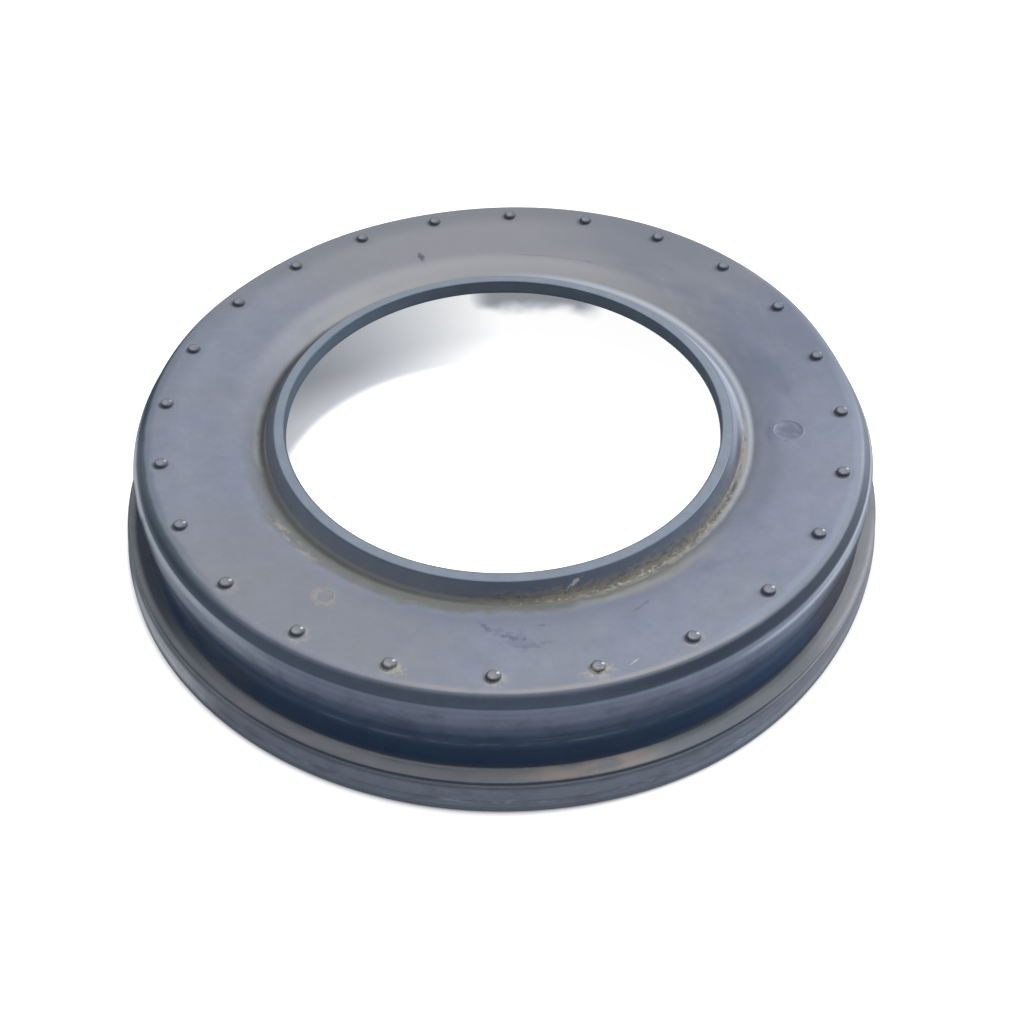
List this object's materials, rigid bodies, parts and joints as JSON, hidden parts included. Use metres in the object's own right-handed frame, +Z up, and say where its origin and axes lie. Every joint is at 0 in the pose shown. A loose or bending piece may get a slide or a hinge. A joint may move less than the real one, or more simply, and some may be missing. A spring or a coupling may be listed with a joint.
{
  "type": "brake booster diaphragm",
  "caption": "Moulded rubber diaphragm for a brake booster: dished ring with an inner lip, a nubbed web, a waisted rolling wall and a thick stepped outer bead.",
  "frame": {"origin": "centre of the base circle that the outer bead stands on", "axes": "+Z up along the axis of the moulding, from the outer bead towards the nubbed web; +X through the first nub"},
  "size_m": [0.2498, 0.2498, 0.0406],
  "materials": {
    "rubber": "satin moulded rubber with a dusty bloom"
  },
  "bodies": {
    "root": {"diaphragm": "rubber"}
  },
  "joints": []
}
